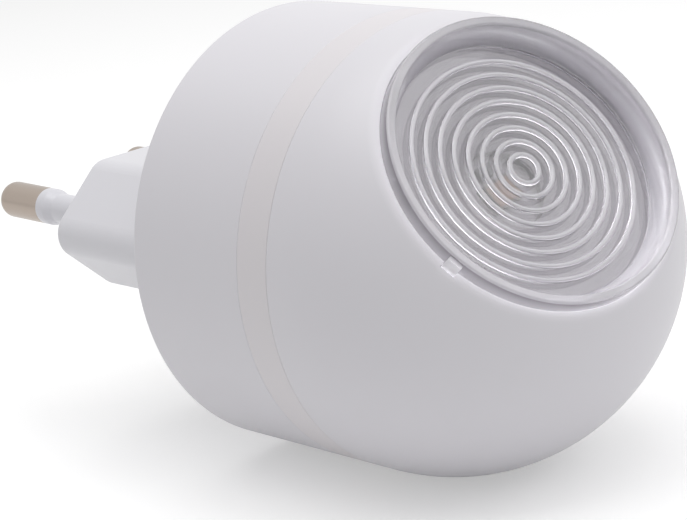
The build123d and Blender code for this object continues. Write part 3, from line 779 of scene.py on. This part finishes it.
notch_radius = LENS_RADIUS + KEY_REACH + SLOT_CLEARANCE
notch_floor = opening_height - KEY_DEPTH - SLOT_CLEARANCE
bore_end = float(np.sqrt(inner_radius**2 - LENS_BORE**2))
bore_heights = (notch_floor, notch_floor, bore_end + BORE_SUPPORT, bore_end)
edge = np.concatenate([crown, brow, np.array([(LENS_BORE, h) for h in bore_heights])])
keyed = edge.copy()
cut = np.arange(len(edge) - len(bore_heights) + 1)
keyed[cut, 0] = np.maximum(edge[cut, 0], notch_radius)
keyed[cut, 1] = np.interp(keyed[cut, 0], crown[::-1, 0], crown[::-1, 1]) - ROW_DROP * cut
keyed[cut[-1], 1] = notch_floor
edge_radius, edge_height = (
    windowed(edge[:, [k]], keyed[:, [k]], notch_turn, KEY_ANGLE, key_half) for k in (0, 1)
)
print("edge has", len(edge), "rows, notch floor at height", round(notch_floor, 2))

# %% Head shell
HEAD_SEAM = 0.03
HEAD_SEAM_ROUND = 0.05
OUTER_ROWS = 70
INNER_ROWS = 50

head_edge = COLLAR_FRONT + HEAD_SEAM
inner_spread = np.arcsin(LENS_BORE / inner_radius)
outer_ball = leaning_circles(BODY_RADIUS, crown_spread, OUTER_ROWS, notch_turn)
inner_ball = leaning_circles(inner_radius, inner_spread, INNER_ROWS, notch_turn)
straight_profile = rounded(
    [
        (inner_radius, HEAD_BACK + HEAD_STRAIGHT),
        (inner_radius, head_edge),
        (BODY_RADIUS, head_edge),
        (BODY_RADIUS, HEAD_BACK + HEAD_STRAIGHT),
    ],
    [0, HEAD_SEAM_ROUND, HEAD_SEAM_ROUND, 0],
    closed=False,
)
straight = spun(straight_profile, origin, INTO_ROOM, ACROSS, UPWARD, notch_turn)
opening = lens_rows(edge_radius, edge_height, notch_turn)
head_skin = np.concatenate([straight, outer_ball[1:-1], opening, inner_ball[-2:0:-1]])
head_patches = [patch(head_skin, ring=True)]
make_piece("head_housing", head_patches, "head", housing_abs, ["head_shell"])

# %% [markdown]
# ## Clear polystyrene lens
#
# The lens is one moulding of clear polystyrene: a dished plate with eight half-round rings, a
# thick rim around it and a skirt that snaps into the head. Polystyrene has an IOR of 1.59 and a
# faint cold tint where it is thick. It is drawn as a real solid with both its skins, because the
# bright lines of the rings come from light that bends through them.
#
# Such a moulding isn't equally clear everywhere. The crests of the rings, the rim and the key are
# a little milky. A band around the outside of the rim is painted a darker grey, as painted shade.
# Two values stored at the points of the mesh say where: one makes the plastic less clear and
# rougher, the other paints that shade.

# %% Clear plastic
POLYSTYRENE_IOR = 1.59
CLEAR_ROUGHNESS = 0.03
MILKY_ROUGHNESS = 0.25

clear_plastic, tree = empty_material("clear_polystyrene")
scatter = add_node(tree, "ShaderNodeAttribute", attribute_name="scatter").outputs["Fac"]
blasted = add_node(tree, "ShaderNodeAttribute", attribute_name="blasted").outputs["Fac"]
principled(
    tree,
    {"IOR": POLYSTYRENE_IOR},
    {
        # painted shade: the outer band of the rim is darkened from near white to grey
        "Base Color": mixed_colour(tree, blasted, linear("#FAF8FD"), linear("#8F8A92")),
        "Roughness": ranged(tree, scatter, CLEAR_ROUGHNESS, MILKY_ROUGHNESS),
        "Transmission Weight": ranged(tree, scatter, 1.0, 0.0),
    },
)
print("made", clear_plastic.name)

# %% Sizes of the lens
RIM_PROUD = 1.05
RIM_WIDTH = 0.85
RIM_ROUND = 0.25
DISH_DEPTH = 2.55
DISH_DRAFT = 0.9
DISH_BORDER = 0.4
DISH_ROUND = 0.12
LENS_HEIGHT = 5.2
SKIRT_WALL = 1.4
SKIRT_ROUND = 0.15
UNDER_ROUND = 0.2
LENS_PLATE = 1.2
FIRST_RING = 1.48
RING_PITCH = 1.41
RING_COUNT = 8
RING_RADIUS = 0.28
VALLEY_SAG = 0.015
HOOK_PLACES = (-80.0, 40.0, 160.0)
HOOK_ANGLE = 12.0
HOOK_REACH = 0.5
WALL_SUPPORT = 0.02
# rows of the side that step out, counted from its first
KEY_ROWS = (1, 2)
HOOK_ROWS = (5, 6, 7)

lens_top = opening_height + RIM_PROUD
lens_bottom = lens_top - LENS_HEIGHT
key_top = lens_top - KEY_BELOW_RIM
key_foot = opening_height - KEY_DEPTH
plate_top = lens_top - DISH_DEPTH
plate_under = plate_top - LENS_PLATE
plate_radius = LENS_RADIUS - RIM_WIDTH - DISH_DRAFT
skirt_bore = LENS_RADIUS - SKIRT_WALL
hook_radius = LENS_RADIUS + HOOK_REACH
hook_top = float(np.sqrt(inner_radius**2 - hook_radius**2)) - SLOT_CLEARANCE
print("lens from height", round(lens_bottom, 2), "to", round(lens_top, 2))

# %% Rings of the lens


def half_round(middle, steps=10):
    """Points of a ring's section, a half circle that stands on the plate."""
    swing = np.linspace(-np.pi / 2, np.pi / 2, steps + 1)
    return (middle, plate_top) + RING_RADIUS * np.stack([np.sin(swing), np.cos(swing)], axis=1)


def valley(start, end, steps=6):
    """Points between two rings: a shallow arc that sags by VALLEY_SAG at its middle."""
    t = np.linspace(0, 1, steps + 1)[1:-1]
    sag = VALLEY_SAG * (1 - (2 * t - 1) ** 2)
    return np.stack([start + (end - start) * t, plate_top - sag], axis=1)


ring_places = FIRST_RING + RING_PITCH * np.arange(RING_COUNT)
plate_profile = [np.array([(0.0, plate_top)])]
for place in ring_places:
    plate_profile.append(half_round(place))
    if place < ring_places[-1]:
        plate_profile.append(valley(place + RING_RADIUS, place + RING_PITCH - RING_RADIUS))
print("rings at radius", ring_places.round(2))

# %% Profile of the lens
rim_profile = rounded(
    [
        (plate_radius - DISH_BORDER, plate_top),
        (plate_radius, plate_top),
        (LENS_RADIUS - RIM_WIDTH, lens_top),
        (LENS_RADIUS, lens_top),
        (LENS_RADIUS, key_top + WALL_SUPPORT),
    ],
    [0, DISH_ROUND, RIM_ROUND, RIM_ROUND, 0],
    closed=False,
)
side_heights = (key_top, key_top, key_foot, key_foot, hook_top, hook_top, lens_bottom)
side_profile = np.array([(LENS_RADIUS, height) for height in side_heights])
under_profile = rounded(
    [
        (LENS_RADIUS, lens_bottom),
        (skirt_bore, lens_bottom),
        (skirt_bore, plate_under),
        (0.0, plate_under),
    ],
    [0, SKIRT_ROUND, UNDER_ROUND, 0],
    closed=False,
)
lens_profile = np.concatenate([*plate_profile, rim_profile, side_profile, under_profile])
first_side_row = sum(len(part) for part in plate_profile) + len(rim_profile)
print("lens profile has", len(lens_profile), "points")

# %% [markdown]
# The profile goes round the lens axis, and inside its windows some rows step out for the key and
# for the three hooks. A renderer treats the shade behind clear plastic as if the plastic were
# nearly opaque, while in the real thing almost all the light comes through and brightens the
# edge of the housing. So the lens casts no shadow.

# %% Lens
key_window = KEY_WIDTH / 2 / LENS_RADIUS
hook_window = np.radians(HOOK_ANGLE / 2)
windows = [(KEY_ANGLE, key_window)] + [(place, hook_window) for place in HOOK_PLACES]
lens_turn = window_angles(LENS_COLUMNS, windows)
radius = np.repeat(lens_profile[:, :1], len(lens_turn), axis=1)
height = np.repeat(lens_profile[:, 1:], len(lens_turn), axis=1)
steps_out = [(KEY_ROWS, KEY_ANGLE, key_window, LENS_RADIUS + KEY_REACH)]
steps_out += [(HOOK_ROWS, place, hook_window, hook_radius) for place in HOOK_PLACES]
for rows, place, half_width, reach in steps_out:
    rows = first_side_row + np.array(rows)
    radius[rows] = windowed(radius[rows], reach, lens_turn, place, half_width)
lens_patches = [patch(lens_rows(radius, height, lens_turn))]
lens_piece = make_piece("ringed_lens", lens_patches, "head", clear_plastic, ["lens"])
lens_piece.visible_shadow = False

# %% How milky each point of the lens is, and where its shade is painted
CREST_SCATTER = 0.42
RIM_SCATTER = 0.28
WALL_SCATTER = 0.55
KEY_SCATTER = 0.6
SKIRT_SCATTER = 0.5
RIM_FADE = 0.3
RING_BORDER = 0.2
TOUCH = 0.01

points = np.empty(3 * len(lens_piece.data.vertices))
lens_piece.data.vertices.foreach_get("co", points)
from_centre = points.reshape(-1, 3) / MM - BALL_CENTRE
point_height = from_centre @ LENS_NORMAL
point_radius = np.linalg.norm(from_centre - point_height[:, None] * LENS_NORMAL, axis=1)

on_plate = point_radius < plate_radius - RING_BORDER
crest = np.clip((point_height - plate_top) / RING_RADIUS, 0, 1) * on_plate
rim = np.clip((point_radius - plate_radius) / RIM_FADE, 0, 1)
outside = point_radius > LENS_RADIUS - TOUCH
on_key = (point_radius > LENS_RADIUS + KEY_REACH - TOUCH) & (point_height > key_foot - TOUCH)
# the outer wall above the key's foot gets painted shade, a darker grey
painted_shade_band = outside & ~on_key & (point_height > key_foot + TOUCH)
skirt = outside & ~on_key & ~painted_shade_band
milky = np.select(
    [on_key, painted_shade_band, skirt],
    [KEY_SCATTER, WALL_SCATTER, SKIRT_SCATTER],
    RIM_SCATTER * rim + CREST_SCATTER * np.sqrt(crest),
)
for name, value in (("scatter", milky), ("blasted", painted_shade_band.astype(float))):
    layer = lens_piece.data.attributes.new(name, "FLOAT", "POINT")
    layer.data.foreach_set("value", value)
print("scatter from", milky.min(), "to", milky.max(), "and", painted_shade_band.sum(), "blasted points")

# %% [markdown]
# ## Reflector
#
# Under the lens sits a moulded cone with a flange. It is what the rings stand against, so its
# grey decides how deep the lens looks. The lamps reach it unshaded through the lens, so its colour
# is darkened with painted shade, far below such a part's own. It is a closed profile, spun about
# the lens axis.

# %% Reflector
LAMP_DEPTH = 5.8
REFLECTOR_MOUTH = 11.3
REFLECTOR_FLOOR = 4.2
REFLECTOR_WALL = 0.8
REFLECTOR_ROUND = 0.1
MOUTH_ROUND = 0.15
FLANGE_FILLET = 0.3

# 4C484E is painted shade: the cone is drawn far darker than its own colour
reflector_abs = moulded_plastic("satin_abs_painted_shade", "#4C484E", 0.5, 0.25, 0.0012)
lamp_face = plate_top - LAMP_DEPTH
flange_top = plate_under - SLOT_CLEARANCE
flange_under = flange_top - REFLECTOR_WALL
reflector_profile = rounded(
    [
        (REFLECTOR_FLOOR, lamp_face),
        (REFLECTOR_FLOOR + REFLECTOR_WALL, lamp_face),
        (REFLECTOR_MOUTH + REFLECTOR_WALL, flange_under),
        (skirt_bore - SLOT_CLEARANCE, flange_under),
        (skirt_bore - SLOT_CLEARANCE, flange_top),
        (REFLECTOR_MOUTH, flange_top),
        (REFLECTOR_FLOOR, lamp_face + REFLECTOR_WALL),
    ],
    [*[REFLECTOR_ROUND] * 2, FLANGE_FILLET, *[REFLECTOR_ROUND] * 2, MOUTH_ROUND, REFLECTOR_ROUND],
)
reflector_skin = spun(reflector_profile, BALL_CENTRE, LENS_NORMAL, ACROSS, LENS_UP, turn_fine)
make_piece(
    "lens_reflector",
    [patch(reflector_skin, ring=True)],
    "head",
    reflector_abs,
    ["reflector"],
)

# %% [markdown]
# ## Plug, sleeves and pins
#
# The plug body and the sleeves come from smoother moulds than the housing, so they shine a little
# more. The pins are brass with a nickel plate, which is warmer and duller than chrome, and fine
# lines from the lathe run round them. Their shapes in the model are already right, so they stay
# as they are and only get these finishes.

# %% Turned and plated metal
WEAR_CHANGE = 0.06
WEAR_MM = 2.5
LINE_STRETCH = (0.05, 1.0, 0.05)


def plated_metal(name, colour, roughness, line_mm, line_depth_mm):
    """A metal with fine lines across its length: noise that is stretched in x and z as bump."""
    material, tree = empty_material(name)
    place = object_place(tree)
    squeezed = add_node(tree, "ShaderNodeMapping", {"Scale": LINE_STRETCH}, {"Vector": place})
    lines = noise(tree, squeezed.outputs[0], line_mm, detail=3.0)
    wear = noise(tree, place, WEAR_MM, detail=4.0)
    principled(
        tree,
        {"Base Color": linear(colour), "Metallic": 1.0},
        {
            "Roughness": ranged(tree, wear, roughness - WEAR_CHANGE, roughness + WEAR_CHANGE),
            "Normal": bumped(tree, lines, line_depth_mm),
        },
    )
    return material


# %% Finishes of the plug, the sleeves and the pins


def finish_nodes(material, *nodes):
    """Give nodes of the model a finished material in place of their plain one."""
    for node in nodes:
        bpy.data.objects[node].material_slots[0].material = material
    print(material.name, "on", ", ".join(nodes))


plug_plastic = moulded_plastic("smooth_white_abs", "#DDDCE1", 0.34, 0.3, 0.0006)
sleeve_plastic = moulded_plastic("smooth_white_polyamide", "#D9D8DE", 0.3, 0.3, 0.0004)
nickel_plate = plated_metal("nickel_plated_brass", "#A99D93", 0.3, 0.08, 0.002)
finish_nodes(plug_plastic, "plug_body")
finish_nodes(sleeve_plastic, "pin_sleeve_left", "pin_sleeve_right")
finish_nodes(nickel_plate, "plug_pin_left", "plug_pin_right")

# %% [markdown]
# ## The parts inside
#
# The rest sits inside the housing. Screws are zinc-plated steel, the clip and the washer are
# darker spring steel with a trace of oil. The boards are glass fibre under solder mask, so the
# weave of the cloth shows through as a faint even grid. The parts on the boards are moulded,
# dipped or sleeved, and each of those finishes is the same moulded plastic with another colour,
# sheen and grain. The lamp board and the LED lie in the unshaded light behind the lens, so like
# the reflector their colours are darkened with painted shade.

# %% Solder mask over woven glass
WAVE_AT_SCALE_ONE = np.pi / 10
WEAVE_DEPTH = 0.02
WEAVE_STRENGTH = 0.4
WEAVE_SHADE = 0.8
MASK_ROUGHNESS = 0.28
MASK_IOR = 1.5


def solder_mask(name, colour, thread_mm):
    """Two crossed sets of waves, one thread apart, make the weave under a glossy coat."""
    material, tree = empty_material(name)
    values = {"Scale": WAVE_AT_SCALE_ONE / (thread_mm * MM)}
    links = {"Vector": object_place(tree)}
    waves = [
        add_node(tree, "ShaderNodeTexWave", values, links, bands_direction=direction).outputs["Fac"]
        for direction in ("X", "Z")
    ]
    cloth = add_node(tree, "ShaderNodeMath", links=dict(enumerate(waves)), operation="MULTIPLY")
    shade = [WEAVE_SHADE * part for part in linear(colour)[:3]] + [1.0]
    principled(
        tree,
        {"Roughness": MASK_ROUGHNESS, "IOR": MASK_IOR},
        {
            "Base Color": mixed_colour(tree, cloth.outputs[0], shade, linear(colour)),
            "Normal": bumped(tree, cloth.outputs[0], WEAVE_DEPTH, WEAVE_STRENGTH),
        },
    )
    return material


finish_nodes(solder_mask("green_solder_mask", "#2E6B44", 0.5), "driver_board")
# the lamp board's grey is partly its own colour and partly painted shade
finish_nodes(solder_mask("grey_solder_mask_painted_shade", "#6C696D", 0.5), "lamp_board")

# %% Metal parts inside
zinc_plate = plated_metal("zinc_plated_steel", "#C3C6CC", 0.34, 0.12, 0.002)
spring_steel = plated_metal("oiled_spring_steel", "#85868A", 0.28, 0.2, 0.001)
finish_nodes(zinc_plate, "case_screws", "plug_screws", "turntable_screws", "lamp_screws")
finish_nodes(spring_steel, "friction_washer", "retaining_clip")

# %% Moulded parts inside
# name: the nodes that have it, colour, roughness, then size and depth of the grain in mm
INSIDE_FINISHES = {
    "plain_abs": (["pivot_plate", "turntable"], "#CFCECE", 0.5, 0.3, 0.002),
    "yellow_box_epoxy": (["film_capacitor"], "#C9A33E", 0.45, 0.3, 0.002),
    "shrunk_pvc_sleeve": (["smoothing_capacitor"], "#242A42", 0.25, 0.8, 0.004),
    "black_epoxy": (["bridge_rectifier", "switch_transistor"], "#26262A", 0.6, 0.15, 0.004),
    "grey_green_cement": (["fusible_resistor"], "#667A6D", 0.7, 0.2, 0.012),
    "tan_lacquer": (["bleeder_resistor"], "#C2A276", 0.35, 0.5, 0.006),
    # the LED package and its phosphor are darkened with painted shade
    "polyphthalamide_painted_shade": (["led_package"], "#2C211A", 0.5, 0.1, 0.002),
    "phosphor_painted_shade": (["led_phosphor"], "#4E2F12", 0.4, 0.08, 0.004),
    "dark_clear_epoxy": (["light_sensor"], "#1B1B1F", 0.15, 0.5, 0.001),
    "white_pvc": (["lamp_leads"], "#DAD9D4", 0.4, 0.4, 0.004),
}

for name, (nodes, *look) in INSIDE_FINISHES.items():
    finish_nodes(moulded_plastic(name, *look), *nodes)
